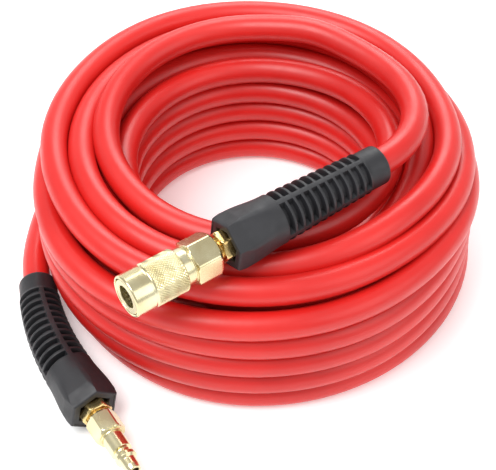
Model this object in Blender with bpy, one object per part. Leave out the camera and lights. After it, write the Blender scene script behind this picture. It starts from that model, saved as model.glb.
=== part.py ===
"""A coiled 3/8 inch air hose with a female quick coupler on one end and a male plug on the other.

Metres, +Z up. The coil lies flat on the ground. The coupler lies across the top of the coil with its
axis along X and its mouth towards -X. The plug lies on the ground beside the coil.
"""

import math

import bmesh
import bpy
from mathutils import Vector

MM = 0.001

# The hose, and the coil it is wound into, in hose diameters
HOSE_D = 15.5 * MM
COIL_CENTRE = Vector((16.70 * MM, -1.6 * MM, 0.0))
COIL_INNER_R = 4.43
COIL_OUTER_R = 8.5
COIL_FOOT_R = 7.75
COIL_TOP = 5.82
GAP = 0.3 * MM

# Along the coupler's axis, from its mouth
SLEEVE_LENGTH = 30.6 * MM
KNURL_START = 12.3 * MM
LAND_START = 3.6 * MM
LAND_END = 10.3 * MM
SOCKET_START = 0.3 * MM
FLANGE_END = 1.5 * MM
SEAL_X = 14.4 * MM
VALVE_NOSE = 16.4 * MM
VALVE_SEAT = 24.2 * MM
BODY_START = 24.0 * MM
SOCKET_END = 36.0 * MM
GUIDE_X = 37.0 * MM
HEX_START = 36.2 * MM
COUPLER_LENGTH = 51.0 * MM
COUPLER_NUT = 59.4 * MM

# Radii of the coupler
SLEEVE_R = 11.4 * MM
KNURL_R = 11.8 * MM
RECESS_R = 9.65 * MM
LAND_R = 8.4 * MM
SKIRT_R = 10.5 * MM
COUPLER_FLAT = 10.9 * MM
COUPLER_CORNER = 12.3 * MM
COUPLER_HEX_TURN = math.radians(27.0)
TURNED_R = 10.2 * MM
SOCKET_R = 8.1 * MM
FLANGE_R = 9.35 * MM
MOUTH_R = 6.15 * MM
SEAL_BORE = 4.75 * MM
CHAMBER_R = 7.0 * MM
THREAD_BORE = 6.75 * MM

# Locking balls
BALL_COUNT = 6
BALL_R = 1.5875 * MM
BALL_X = 7.5 * MM
BALL_RING_R = 6.4 * MM
BALL_HOLE_R = 1.8 * MM

# Along the plug's axis, from its tip
PLUG_RIDGE = 8.3 * MM
PLUG_GROOVE = 11.1 * MM
PLUG_STEM = 14.1 * MM
PLUG_HEX = 25.2 * MM
PLUG_LENGTH = 38.6 * MM
PLUG_NUT = 45.4 * MM
PLUG_NOSE_R = 4.4 * MM
PLUG_STEM_R = 5.9 * MM
PLUG_GROOVE_R = 4.3 * MM
PLUG_BORE = 2.6 * MM
THREAD_FLOOR = 27.5 * MM
PLUG_FLAT = 7.85 * MM
PLUG_CORNER = 8.9 * MM

# Hose fitting, from the front of its nut
THREAD_LENGTH = 13.6 * MM
THREAD_R = 6.4 * MM
NUT_LENGTH = 7.5 * MM
NUT_FLAT = 7.15 * MM
NUT_CORNER = 8.1 * MM
HOSE_START = 9.6 * MM
BARB_END = 26.0 * MM
BARB_R = 4.9 * MM
FITTING_BORE = 3.0 * MM
FERRULE_R = 9.5 * MM
FERRULE_END = 29.0 * MM

# Bend restrictor, from its nose. The nut is half a millimetre inside the nose
RESTRICTOR_LENGTH = 99.8 * MM
NUT_DEPTH = 0.5 * MM
HEAD_FLAT = 13.8 * MM
HEAD_CORNER = 15.6 * MM
HEAD_END = 28.5 * MM
CAVITY_END = 30.0 * MM
RIBS_START = 31.0 * MM
RIBS_END = 86.0 * MM
RIB_COUNT = 11
RIB_WIDTH = 1.6 * MM
RIB_R = (13.8 * MM, 11.6 * MM)
CORE_R = (9.5 * MM, 9.2 * MM)
COLLAR_R = 10.9 * MM
CAVITY_R = 9.85 * MM
SPINE_COUNT = 4
SPINE_HALF_ANGLE = math.radians(8.0)
SPINE_DRAFT = math.radians(2.0)
COUPLER_TURN = math.radians(8.0)
PLUG_TURN = math.radians(11.0)

# The coupler's axis: its mouth, from the coil's centre, in hose diameters. Its restrictor rests on the coil
COUPLER_MOUTH = Vector((-8.46, -4.72, COIL_TOP + (HEAD_CORNER + GAP) / HOSE_D))

# The plug's axis: its tip, in hose diameters, and the bow of its restrictor, sideways and down to the hose
PLUG_TIP = Vector((-9.93, -6.90, HEAD_CORNER / HOSE_D))
PLUG_HEADING = math.radians(86.0)
BOW_ANGLE = math.radians(23.0)
BOW_TILT = math.radians(190.0)

# The hose between the coupler's restrictor and the top of the coil, in hose diameters from the coil's centre
COUPLER_TAIL = (
    (3.10, -4.54, 6.74),
    (4.20, -3.88, 6.62),
    (5.03, -2.90, 6.50),
    (5.48, -1.70, 6.44),
    (5.52, -0.40, 6.41),
    (5.30, 1.00, 6.40),
    (4.66, 2.85, 6.40),
)

# The hose between the plug's restrictor and the foot of the coil, in hose diameters from the coil's centre
PLUG_TAIL = (
    (-7.99, 3.09, 0.82),
    (-7.39, 4.00, 0.72),
    (-6.33, 5.33, 0.60),
    (-4.75, 6.78, 0.52),
    (-2.83, 7.78, 0.505),
    (-1.01, 8.22, 0.505),
)

COLUMNS = 36


def clear_scene():
    for item in list(bpy.data.objects):
        bpy.data.objects.remove(item)


def material(name, colour, roughness, metallic=0.0):
    made = bpy.data.materials.new(name)
    made.use_nodes = True
    shader = made.node_tree.nodes["Principled BSDF"]
    shader.inputs["Base Color"].default_value = (*colour, 1.0)
    shader.inputs["Roughness"].default_value = roughness
    shader.inputs["Metallic"].default_value = metallic
    return made


def add_object(name, data, look, parent=None):
    made = bpy.data.objects.new(name, data)
    bpy.context.scene.collection.objects.link(made)
    data.materials.append(look)
    made.parent = parent
    return made


def smooth(mesh):
    mesh.shade_smooth()
    mesh.set_sharp_from_angle(angle=math.radians(30))


def axis_empty(name, place, heading):
    """A frame whose X axis runs along a fitting, from its open end towards the hose."""
    made = bpy.data.objects.new(name, None)
    bpy.context.scene.collection.objects.link(made)
    made.location = place
    made.rotation_euler = (0.0, 0.0, heading)
    return made


def on_hexagon(radius, flat, angle):
    """The radius of a round bar of this radius, cut by six flats at this distance, towards an angle."""
    to_flat = (angle % math.radians(60)) - math.radians(30)
    return min(radius, flat / math.cos(to_flat))


def bowed(point, start, angle, length):
    """A point of a straight solid along X, moved as the solid bows through an angle over a length."""
    x, y, z = point
    if x <= start or not angle:
        return (x, y, z)
    radius = length / angle
    side = Vector((math.cos(BOW_TILT), math.sin(BOW_TILT)))
    across = y * side.x + z * side.y
    turned_by = min((x - start) / radius, angle)
    reach = x - start - radius * turned_by
    along = start + (radius - across) * math.sin(turned_by) + reach * math.cos(turned_by)
    moved = radius - (radius - across) * math.cos(turned_by) + reach * math.sin(turned_by) - across
    return (along, y + moved * side.x, z + moved * side.y)


def grid_mesh(name, rows, along_z=False, bow=(0.0, 0.0, 1.0)):
    """A closed mesh from rings of (x, radius, angle) points. A ring of one point is the tip of a solid."""
    mesh = bmesh.new()
    rings = []
    for row in rows:
        ring = []
        for x, radius, angle in row:
            across = (radius * math.cos(angle), radius * math.sin(angle))
            place = (*across, x) if along_z else bowed((x, *across), *bow)
            ring.append(mesh.verts.new(place))
        rings.append(ring)
    closed = len(rings[0]) > 1
    pairs = zip(rings, rings[1:] + rings[:1]) if closed else zip(rings, rings[1:])
    for first, second in pairs:
        count = max(len(first), len(second))
        for i in range(count):
            j = (i + 1) % count
            near = [first[i % len(first)], first[j % len(first)]]
            far = [second[j % len(second)], second[i % len(second)]]
            mesh.faces.new(dict.fromkeys(near + far))
    bmesh.ops.recalc_face_normals(mesh, faces=mesh.faces)
    data = bpy.data.meshes.new(name)
    mesh.to_mesh(data)
    mesh.free()
    smooth(data)
    return data


def turned(name, outline, look, parent=None, turn=0.0, columns=COLUMNS, along_z=False):
    """A solid turned from an outline of (x, radius) points. A third number cuts six flats that far out."""
    rows = []
    for x, radius, *flat in outline:
        angles = [math.tau * i / columns for i in range(columns)] if radius else [0.0]
        rows.append([
            (x, on_hexagon(radius, flat[0], angle) if flat else radius, angle + turn) for angle in angles
        ])
    return add_object(name, grid_mesh(name, rows, along_z), look, parent)


def cut(target, cutter):
    """Cuts a hidden cutter out of an object."""
    cutter.hide_render = True
    cutter.display_type = "WIRE"
    change = target.modifiers.new(cutter.name, "BOOLEAN")
    change.operation = "DIFFERENCE"
    change.object = cutter


def catmull(points, samples):
    """A smooth curve through points, with this many samples on each span."""
    ends = [2 * points[0] - points[1], *points, 2 * points[-1] - points[-2]]
    curve = []
    for a, b, c, d in zip(ends, ends[1:], ends[2:], ends[3:]):
        for i in range(samples):
            t = i / samples
            curve.append(
                0.5 * (2 * b + (c - a) * t)
                + 0.5 * ((2 * a - 5 * b + 4 * c - d) * t**2 + (3 * b - a - 3 * c + d) * t**3)
            )
    return curve + [points[-1].copy()]


def bent_wire(name, points, thickness, look, parent=None, resolution=1):
    """A round bar along a line of points, with flat ends."""
    data = bpy.data.curves.new(name, "CURVE")
    data.dimensions = "3D"
    data.bevel_depth = thickness / 2
    data.bevel_resolution = resolution
    data.use_fill_caps = True
    line = data.splines.new("POLY")
    line.points.add(len(points) - 1)
    for place, point in zip(line.points, points):
        place.co = (*point, 1.0)
    return add_object(name, data, look, parent)


def as_mesh(curve):
    """The same object with a mesh in place of its curve, so that it can be cut."""
    name, parent = curve.name, curve.parent
    look = curve.data.materials[0]
    bpy.context.view_layer.update()
    seen = curve.evaluated_get(bpy.context.evaluated_depsgraph_get())
    data = bpy.data.meshes.new_from_object(seen)
    data.materials.clear()
    bpy.data.objects.remove(curve)
    closed = bmesh.new()
    closed.from_mesh(data)
    bmesh.ops.remove_doubles(closed, verts=closed.verts, dist=0.00001)
    bmesh.ops.recalc_face_normals(closed, faces=closed.faces)
    closed.to_mesh(data)
    closed.free()
    smooth(data)
    return add_object(name, data, look, parent)


def helix(start, end, radius, turns, per_turn=10):
    """The points of a spring along X. Its first and last turns lie flat."""
    count = int(turns * per_turn)
    points = []
    for i in range(count + 1):
        share = i / count
        rise = min(max((share * turns - 0.75) / (turns - 1.5), 0.0), 1.0)
        angle = math.tau * turns * share
        across = (radius * math.cos(angle), radius * math.sin(angle))
        points.append(Vector((start + (end - start) * rise, *across)))
    return points


def make_coil(look):
    outline = (
        (0.0, COIL_INNER_R + 0.35), (0.35, COIL_INNER_R), (4.7, COIL_INNER_R), (5.35, 4.75),
        (5.7, 5.05), (COIL_TOP, 5.35), (COIL_TOP, 7.4), (5.6, 7.8), (5.1, 8.05), (4.7, COIL_OUTER_R),
        (2.2, COIL_OUTER_R), (1.5, 8.15), (1.05, COIL_FOOT_R), (0.3, COIL_FOOT_R), (0.0, COIL_FOOT_R - 0.3),
    )
    scaled = [(z * HOSE_D, radius * HOSE_D) for z, radius in outline]
    coil = turned("hose_coil", scaled, look, columns=48, along_z=True)
    coil.location = COIL_CENTRE


def make_hose_tail(name, frame, nut_x, bow, route, look):
    """The hose from its barb, through the bend restrictor, along its route, with a pocket for the barb."""
    nose = nut_x - NUT_DEPTH
    leave = nose + RESTRICTOR_LENGTH
    steps = 8
    inside = [nut_x + HOSE_START]
    inside += [nose + RIBS_START + (leave - nose - RIBS_START) * i / steps for i in range(steps + 1)]
    inside = [frame.matrix_world @ Vector(bowed((x, 0.0, 0.0), *bow)) for x in inside]
    outside = catmull([inside[-2], inside[-1]] + [COIL_CENTRE + Vector(p) * HOSE_D for p in route], 3)
    tail = as_mesh(bent_wire(name, inside + outside[4:], HOSE_D, look, resolution=2))
    depth, mouth = nut_x + BARB_END + GAP, nut_x + NUT_LENGTH
    pocket = ((mouth, 0.0), (mouth, BARB_R + GAP), (depth, BARB_R + GAP), (depth, 0.0))
    cut(tail, turned(name + "_pocket", pocket, look, frame, columns=16))


def make_fitting(name, frame, nut_x, look):
    outline = [
        (-THREAD_LENGTH, THREAD_R - 0.9 * MM), (-THREAD_LENGTH + 1.2 * MM, THREAD_R), (0.0, THREAD_R),
        (0.0, NUT_FLAT, NUT_FLAT), (0.8 * MM, NUT_CORNER, NUT_FLAT),
        (NUT_LENGTH - 0.8 * MM, NUT_CORNER, NUT_FLAT),
        (NUT_LENGTH, NUT_FLAT, NUT_FLAT), (NUT_LENGTH, BARB_R), (HOSE_START, BARB_R),
    ]
    for barb in range(2):
        start = HOSE_START + 1.0 * MM + barb * 7.2 * MM
        outline += [(start, BARB_R - 0.5 * MM), (start + 0.5 * MM, BARB_R)]
        outline.append((start + 6.0 * MM, BARB_R - 0.5 * MM))
    outline += [(BARB_END, BARB_R - 0.7 * MM), (BARB_END, FITTING_BORE), (-THREAD_LENGTH, FITTING_BORE)]
    turned(name, [(nut_x + x, *rest) for x, *rest in outline], look, frame, columns=24)


def make_ferrule(name, frame, nut_x, look):
    """The crimped ferrule: its front wall closes on the fitting, and its skirt goes round the hose."""
    groove, inner, wall_r = FERRULE_R - 0.4 * MM, HOSE_D / 2 + GAP, BARB_R + GAP
    start, wall = NUT_LENGTH + GAP, 1.2 * MM
    outline = [(start, wall_r), (start, FERRULE_R - 0.5 * MM), (start + 0.5 * MM, FERRULE_R)]
    for crimp in range(2):
        x = start + 5.0 * MM + crimp * 7.0 * MM
        outline += [(x, FERRULE_R), (x + 0.7 * MM, groove)]
        outline += [(x + 2.6 * MM, groove), (x + 3.3 * MM, FERRULE_R)]
    outline += [
        (FERRULE_END - 0.4 * MM, FERRULE_R), (FERRULE_END, FERRULE_R - 0.4 * MM), (FERRULE_END, inner),
        (start + wall, inner), (start + wall, wall_r),
    ]
    turned(name, [(nut_x + x, radius) for x, radius in outline], look, frame, columns=24)


def spine_angle(spine):
    return math.radians(90) + math.tau * spine / SPINE_COUNT


def restrictor_angles():
    """The angles of a restrictor's columns: evenly round it, and at its spines' middles and edges."""
    angles = {math.radians(20 * i) for i in range(18)}
    for spine in range(SPINE_COUNT):
        reach = SPINE_HALF_ANGLE + SPINE_DRAFT
        angles = {angle for angle in angles if off_spine(angle, spine) > reach + math.radians(3)}
    for spine in range(SPINE_COUNT):
        for edge in (0.0, SPINE_HALF_ANGLE, SPINE_HALF_ANGLE + SPINE_DRAFT):
            angles.add((spine_angle(spine) + edge) % math.tau)
            angles.add((spine_angle(spine) - edge) % math.tau)
    return sorted(angles)


def off_spine(angle, spine):
    return abs((angle - spine_angle(spine) + math.pi) % math.tau - math.pi)


def in_window(angle):
    """Whether an angle is clear of every spine and its draft."""
    return min(off_spine(angle, spine) for spine in range(SPINE_COUNT)) > SPINE_HALF_ANGLE + 0.5 * SPINE_DRAFT


def between(pair, share):
    return pair[0] + (pair[1] - pair[0]) * share


def head_radius(radius, flat, angle):
    """The radius of a hexagonal head with a corner at the top."""
    return on_hexagon(radius, flat, angle + math.radians(30))


def make_restrictor(name, frame, nose_x, turn, bow, look):
    """A moulded sleeve: a hexagonal head, ribs and spines round a core, and a plain collar at the back."""
    angles = restrictor_angles()
    rows = []

    def ring(x, radius, flat=None):
        radii = [head_radius(radius, flat, angle) if flat else radius for angle in angles]
        rows.append([(nose_x + x, value, angle + turn) for value, angle in zip(radii, angles)])

    ring(0.0, HEAD_FLAT, HEAD_FLAT - 0.6 * MM)
    ring(1.6 * MM, HEAD_CORNER, HEAD_FLAT)
    ring(HEAD_END - 6.0 * MM, HEAD_CORNER, HEAD_FLAT)
    ring(HEAD_END, RIB_R[0])
    pitch = (RIBS_END - RIBS_START + RIB_WIDTH) / RIB_COUNT
    for window in range(RIB_COUNT):
        start = RIBS_START + window * pitch
        end = start + pitch - RIB_WIDTH
        edges = ((start, False), (start + 0.25 * MM, True), (end - 0.25 * MM, True), (end, False))
        for x, deep in edges:
            share = (x - RIBS_START) / (RIBS_END - RIBS_START)
            rib, core = between(RIB_R, share), between(CORE_R, share)
            radii = [core if deep and in_window(angle) else rib for angle in angles]
            rows.append([(nose_x + x, value, angle + turn) for value, angle in zip(radii, angles)])
    ring(RIBS_END + 0.9 * MM, COLLAR_R)
    ring(RESTRICTOR_LENGTH - 1.0 * MM, COLLAR_R)
    ring(RESTRICTOR_LENGTH, COLLAR_R - 0.7 * MM)
    steps = 8
    for i in range(steps):
        ring(RESTRICTOR_LENGTH - (RESTRICTOR_LENGTH - CAVITY_END) * i / steps, HOSE_D / 2 + GAP)
    ring(CAVITY_END, HOSE_D / 2 + GAP)
    ring(CAVITY_END, CAVITY_R)
    ring(NUT_DEPTH, CAVITY_R)
    ring(0.0, CAVITY_R + 0.5 * MM)
    return add_object(name, grid_mesh(name, rows, bow=bow), look, frame)


def make_sleeve(frame, look):
    outline = (
        (0.0, RECESS_R + 0.4 * MM), (0.0, SLEEVE_R - 0.9 * MM), (0.9 * MM, SLEEVE_R),
        (KNURL_START, SLEEVE_R), (KNURL_START + 0.4 * MM, KNURL_R),
        (SLEEVE_LENGTH - 0.6 * MM, KNURL_R), (SLEEVE_LENGTH, KNURL_R - 0.5 * MM),
        (SLEEVE_LENGTH, SKIRT_R), (LAND_END, SKIRT_R), (LAND_END, LAND_R), (BALL_X, LAND_R),
        (LAND_START, LAND_R + 0.85 * MM), (LAND_START, RECESS_R), (0.4 * MM, RECESS_R),
    )
    turned("coupler_sleeve", outline, look, frame)


def make_socket(frame, look):
    """The tube that takes the plug: a flange at its mouth, ball holes, grooves and the valve's seat."""
    ring_back, ring_floor = LAND_START - GAP, 7.2 * MM
    ring_front = ring_back - 1.0 * MM
    seal_front, seal_back, seal_floor = SEAL_X - 1.2 * MM, SEAL_X + 1.2 * MM, 6.35 * MM
    outline = (
        (SOCKET_START, MOUTH_R + 0.2 * MM), (SOCKET_START, FLANGE_R - 0.25 * MM),
        (SOCKET_START + 0.25 * MM, FLANGE_R), (FLANGE_END, FLANGE_R), (FLANGE_END, SOCKET_R),
        (ring_front, SOCKET_R), (ring_front, ring_floor), (ring_back, ring_floor), (ring_back, SOCKET_R),
        (SOCKET_END, SOCKET_R), (SOCKET_END, CHAMBER_R), (VALVE_SEAT, CHAMBER_R), (VALVE_SEAT, SEAL_BORE),
        (seal_back, SEAL_BORE), (seal_back, seal_floor), (seal_front, seal_floor), (seal_front, SEAL_BORE),
        (12.6 * MM, SEAL_BORE), (12.3 * MM, MOUTH_R), (SOCKET_START + 0.3 * MM, MOUTH_R),
    )
    socket = turned("coupler_socket", outline, look, frame, columns=24)
    for ball in range(BALL_COUNT):
        bottom, top = 5.0 * MM, 9.0 * MM
        profile = ((bottom, 0.0), (bottom, BALL_HOLE_R), (top, BALL_HOLE_R), (top, 0.0))
        hole = turned(f"ball_hole_{ball + 1}", profile, look, frame, turn=0.1, columns=12, along_z=True)
        hole.location = (BALL_X, 0.0, 0.0)
        hole.rotation_euler = (math.tau * ball / BALL_COUNT, 0.0, 0.0)
        cut(socket, hole)


def make_balls(frame, look):
    mesh = bmesh.new()
    bmesh.ops.create_icosphere(mesh, subdivisions=2, radius=BALL_R)
    data = bpy.data.meshes.new("locking_ball")
    mesh.to_mesh(data)
    mesh.free()
    data.shade_smooth()
    data.materials.append(look)
    for ball in range(BALL_COUNT):
        angle = math.tau * ball / BALL_COUNT
        made = bpy.data.objects.new(f"locking_ball_{ball + 1}", data)
        bpy.context.scene.collection.objects.link(made)
        made.parent = frame
        made.location = (BALL_X, -BALL_RING_R * math.sin(angle), BALL_RING_R * math.cos(angle))


def make_coupler_body(frame, look):
    floor, shelf = GUIDE_X + 2.6 * MM, GUIDE_X + 4.5 * MM
    outline = (
        (BODY_START, TURNED_R - 0.8 * MM), (BODY_START + 0.8 * MM, TURNED_R), (HEX_START, TURNED_R),
        (HEX_START + 0.6 * MM, COUPLER_CORNER, COUPLER_FLAT),
        (COUPLER_LENGTH - 1.2 * MM, COUPLER_CORNER, COUPLER_FLAT),
        (COUPLER_LENGTH, COUPLER_FLAT, COUPLER_FLAT - 0.1 * MM),
        (COUPLER_LENGTH, THREAD_BORE + 0.5 * MM), (COUPLER_LENGTH - 0.6 * MM, THREAD_BORE),
        (shelf, THREAD_BORE), (shelf, 3.6 * MM), (floor, 3.6 * MM), (floor, CHAMBER_R + GAP),
        (SOCKET_END + GAP, CHAMBER_R + GAP), (SOCKET_END + GAP, SOCKET_R + GAP), (BODY_START, SOCKET_R + GAP),
    )
    turned("coupler_body", outline, look, frame, turn=COUPLER_HEX_TURN)


def make_retaining_ring(frame, look):
    back = LAND_START - GAP - 0.1 * MM
    front = back - 0.8 * MM
    outline = ((front, 7.45 * MM), (front, 9.35 * MM), (back, 9.35 * MM), (back, 7.45 * MM))
    turned("sleeve_retaining_ring", outline, look, frame, columns=24)


def round_ring(name, x, ring_r, section_r, frame, look, sides=8):
    """A ring of round section about the X axis."""
    outline = [
        (x + section_r * math.cos(math.tau * i / sides), ring_r + section_r * math.sin(math.tau * i / sides))
        for i in range(sides)
    ]
    turned(name, outline, look, frame, columns=24)


def make_poppet(frame, look):
    """The valve's moving piece: a hollow nose with two cross holes, a head and a stem."""
    nose_r, head_r, stem_r, bore_r = 4.3 * MM, 6.3 * MM, 1.9 * MM, 2.8 * MM
    head, head_end, stem_end = VALVE_SEAT + 1.4 * MM, VALVE_SEAT + 3.4 * MM, 40.3 * MM
    outline = (
        (VALVE_NOSE, 0.0), (VALVE_NOSE, nose_r - 0.4 * MM), (VALVE_NOSE + 0.4 * MM, nose_r), (head, nose_r),
        (head, head_r), (head_end, head_r), (head_end, stem_r), (stem_end - 0.5 * MM, stem_r),
        (stem_end, stem_r - 0.5 * MM), (stem_end, 0.0),
    )
    poppet = turned("valve_poppet", outline, look, frame, columns=24)
    open_end, closed_end = VALVE_NOSE - 1.0 * MM, VALVE_SEAT - 1.0 * MM
    bore = ((open_end, 0.0), (open_end, bore_r), (closed_end, bore_r), (closed_end, 0.0))
    cut(poppet, turned("poppet_bore", bore, look, frame, turn=0.07, columns=24))
    for side in range(2):
        port = ((-5.0 * MM, 0.0), (-5.0 * MM, 1.2 * MM), (5.0 * MM, 1.2 * MM), (5.0 * MM, 0.0))
        made = turned(f"poppet_port_{side + 1}", port, look, frame, turn=0.15, columns=12, along_z=True)
        made.location = (VALVE_SEAT - 2.4 * MM, 0.0, 0.0)
        made.rotation_euler = (math.pi / 2 * side, 0.0, 0.0)
        cut(poppet, made)


def make_valve(frame, brass, steel, rubber):
    """The valve that shuts the coupler: a poppet, its seal, its spring and the guide behind it."""
    make_poppet(frame, brass)
    front, back = VALVE_SEAT + 0.25 * MM, VALVE_SEAT + 1.15 * MM
    seal = ((front, 4.6 * MM), (front, 6.1 * MM), (back, 6.1 * MM), (back, 4.6 * MM))
    turned("valve_seal_ring", seal, rubber, frame, columns=32)
    wire = 0.8 * MM
    spring = helix(VALVE_SEAT + 3.4 * MM + GAP + wire / 2, GUIDE_X - GAP - wire / 2, 3.4 * MM, 5.0)
    bent_wire("valve_spring", spring, wire, steel, frame)
    disc = (
        (GUIDE_X, 2.2 * MM), (GUIDE_X, CHAMBER_R, CHAMBER_R - 0.9 * MM),
        (GUIDE_X + 1.6 * MM, CHAMBER_R, CHAMBER_R - 0.9 * MM), (GUIDE_X + 1.6 * MM, 2.2 * MM),
    )
    turned("valve_guide", disc, brass, frame)


def make_plug(frame, look):
    outline = (
        (0.0, PLUG_NOSE_R - 1.1 * MM), (0.5 * MM, PLUG_NOSE_R - 0.7 * MM),
        (3.0 * MM, PLUG_NOSE_R - 0.05 * MM), (PLUG_RIDGE - 0.9 * MM, PLUG_NOSE_R),
        (PLUG_RIDGE, PLUG_STEM_R), (PLUG_GROOVE - 0.6 * MM, PLUG_STEM_R), (PLUG_GROOVE, PLUG_GROOVE_R),
        (PLUG_STEM - 0.6 * MM, PLUG_GROOVE_R), (PLUG_STEM, PLUG_STEM_R),
        (PLUG_HEX, PLUG_STEM_R), (PLUG_HEX, PLUG_FLAT - 0.1 * MM, PLUG_FLAT),
        (PLUG_HEX + 1.2 * MM, PLUG_CORNER, PLUG_FLAT),
        (PLUG_LENGTH - 1.0 * MM, PLUG_CORNER, PLUG_FLAT), (PLUG_LENGTH, PLUG_FLAT - 0.1 * MM, PLUG_FLAT),
        (PLUG_LENGTH, THREAD_BORE + 0.4 * MM), (PLUG_LENGTH - 0.5 * MM, THREAD_BORE),
        (THREAD_FLOOR, THREAD_BORE), (THREAD_FLOOR, PLUG_BORE), (0.0, PLUG_BORE),
    )
    turned("quick_plug", outline, look, frame)


def make_coupler(frame, brass, steel, rubber):
    make_sleeve(frame, brass)
    make_socket(frame, brass)
    make_coupler_body(frame, brass)
    make_retaining_ring(frame, steel)
    make_balls(frame, steel)
    wire = 1.1 * MM
    spring = helix(LAND_END + GAP + wire / 2, BODY_START - GAP - wire / 2, 9.35 * MM, 6.0)
    bent_wire("sleeve_spring", spring, wire, steel, frame)
    round_ring("plug_seal_ring", SEAL_X, 5.2 * MM, 0.85 * MM, frame, rubber)
    make_valve(frame, brass, steel, rubber)


def make_hose_end(end, frame, nut_x, turn, bow_angle, route, looks):
    """A hose end's fitting, ferrule and bend restrictor, and the hose between them and the coil."""
    nose_x = nut_x - NUT_DEPTH
    bow = (nose_x + RIBS_START, bow_angle, RESTRICTOR_LENGTH - RIBS_START)
    make_fitting(f"hose_fitting_{end}_end", frame, nut_x, looks["brass"])
    make_ferrule(f"crimp_ferrule_{end}_end", frame, nut_x, looks["steel"])
    make_restrictor(f"bend_restrictor_{end}_end", frame, nose_x, turn, bow, looks["restrictor"])
    make_hose_tail(f"hose_tail_{end}_end", frame, nut_x, bow, route, looks["hose"])


def main():
    clear_scene()
    looks = {
        "hose": material("red_hose", (0.80, 0.03, 0.02), 0.42),
        "restrictor": material("black_restrictor", (0.022, 0.022, 0.025), 0.55),
        "brass": material("brass", (0.87, 0.74, 0.38), 0.25, 1.0),
        "steel": material("steel", (0.62, 0.62, 0.64), 0.3, 1.0),
        "rubber": material("seal_rubber", (0.015, 0.015, 0.015), 0.6),
    }
    coupler = axis_empty("coupler_axis", COIL_CENTRE + COUPLER_MOUTH * HOSE_D, 0.0)
    plug = axis_empty("plug_axis", COIL_CENTRE + PLUG_TIP * HOSE_D, PLUG_HEADING)
    bpy.context.view_layer.update()
    make_coil(looks["hose"])
    make_coupler(coupler, looks["brass"], looks["steel"], looks["rubber"])
    make_hose_end("coupler", coupler, COUPLER_NUT, COUPLER_TURN, 0.0, COUPLER_TAIL, looks)
    make_plug(plug, looks["brass"])
    make_hose_end("plug", plug, PLUG_NUT, PLUG_TURN, BOW_ANGLE, PLUG_TAIL, looks)


main()
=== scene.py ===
"""The coiled air hose: one hose, its moulded bend restrictors, a brass coupler and a brass plug."""

import math

import bmesh
import bpy
from mathutils import Matrix, Vector


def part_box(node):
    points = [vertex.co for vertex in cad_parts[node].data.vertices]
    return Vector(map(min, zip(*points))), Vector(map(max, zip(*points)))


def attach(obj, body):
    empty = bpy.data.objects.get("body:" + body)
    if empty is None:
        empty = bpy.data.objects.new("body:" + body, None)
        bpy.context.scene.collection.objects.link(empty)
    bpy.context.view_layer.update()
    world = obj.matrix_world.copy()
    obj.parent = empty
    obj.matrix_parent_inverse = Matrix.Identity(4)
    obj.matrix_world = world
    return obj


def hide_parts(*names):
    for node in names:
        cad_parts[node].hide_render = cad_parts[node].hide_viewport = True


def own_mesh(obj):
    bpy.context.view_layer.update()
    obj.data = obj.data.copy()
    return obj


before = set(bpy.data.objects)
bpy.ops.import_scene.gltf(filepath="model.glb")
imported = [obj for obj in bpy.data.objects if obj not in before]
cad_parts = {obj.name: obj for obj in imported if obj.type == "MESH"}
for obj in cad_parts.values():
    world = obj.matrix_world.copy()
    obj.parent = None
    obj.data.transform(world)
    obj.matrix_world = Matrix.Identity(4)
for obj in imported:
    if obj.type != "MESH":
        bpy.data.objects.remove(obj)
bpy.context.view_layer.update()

MM = 0.001
FIXED = "hose_and_fittings"

# The hose and its coil, in metres and in hose diameters
HOSE_D = 15.5 * MM
HOSE_SIDES = 20
COIL_LOW, COIL_HIGH = (Vector(corner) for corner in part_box("hose_coil"))
COIL_CENTRE = Vector(((COIL_LOW.x + COIL_HIGH.x) / 2, (COIL_LOW.y + COIL_HIGH.y) / 2, 0.0))
COIL_TURN = math.radians(-35.7)

# The hose from the coupler's restrictor to the top of the coil, in hose diameters from the coil's centre
COUPLER_TAIL = (
    (3.02, -4.49, 6.76),
    (4.12, -3.88, 6.64),
    (4.98, -2.92, 6.52),
    (5.46, -1.72, 6.45),
    (5.54, -0.42, 6.41),
    (5.30, 1.00, 6.40),
    (4.66, 2.85, 6.40),
)

# The hose between the plug's restrictor and the foot of the coil, in hose diameters from the coil's centre
PLUG_TAIL = (
    (-8.04, 3.12, 0.82),
    (-7.43, 4.03, 0.72),
    (-6.33, 5.33, 0.60),
    (-4.75, 6.78, 0.52),
    (-2.83, 7.78, 0.505),
    (-1.01, 8.22, 0.505),
)

# The loose turns on top of the coil: degrees round it, then distance from its centre and height, in hose
# diameters
TOP_INNER = (
    (92, 5.45, 6.20), (112, 5.60, 6.08), (137, 5.70, 5.92), (153, 5.70, 5.74), (168, 5.60, 5.60),
    (182, 5.48, 5.50), (193, 5.33, 5.42), (206, 5.17, 5.40), (221, 5.11, 5.38), (236, 5.06, 5.38),
    (270, 5.03, 5.38), (300, 4.98, 5.38), (327, 4.96, 5.38), (345, 4.98, 5.33), (365, 4.96, 5.20),
    (395, 4.94, 4.90), (425, 4.93, 4.60),
)
TOP_MIDDLE = (
    (310, 5.93, 4.55), (325, 5.84, 4.75), (341, 5.94, 5.05), (360, 6.08, 5.28), (390, 6.22, 5.36),
    (430, 6.32, 5.36), (480, 6.38, 5.36), (515, 6.38, 5.36), (550, 6.36, 5.38), (580, 6.34, 5.40),
    (600, 6.30, 5.36), (615, 6.27, 5.34), (628, 6.25, 5.34), (645, 6.36, 5.52), (660, 6.50, 5.76),
    (675, 6.54, 5.88), (690, 6.66, 5.80), (702, 6.84, 5.60), (715, 7.02, 5.47), (729, 7.08, 5.44),
    (745, 7.08, 5.44), (766, 7.26, 5.40),
)
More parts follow.
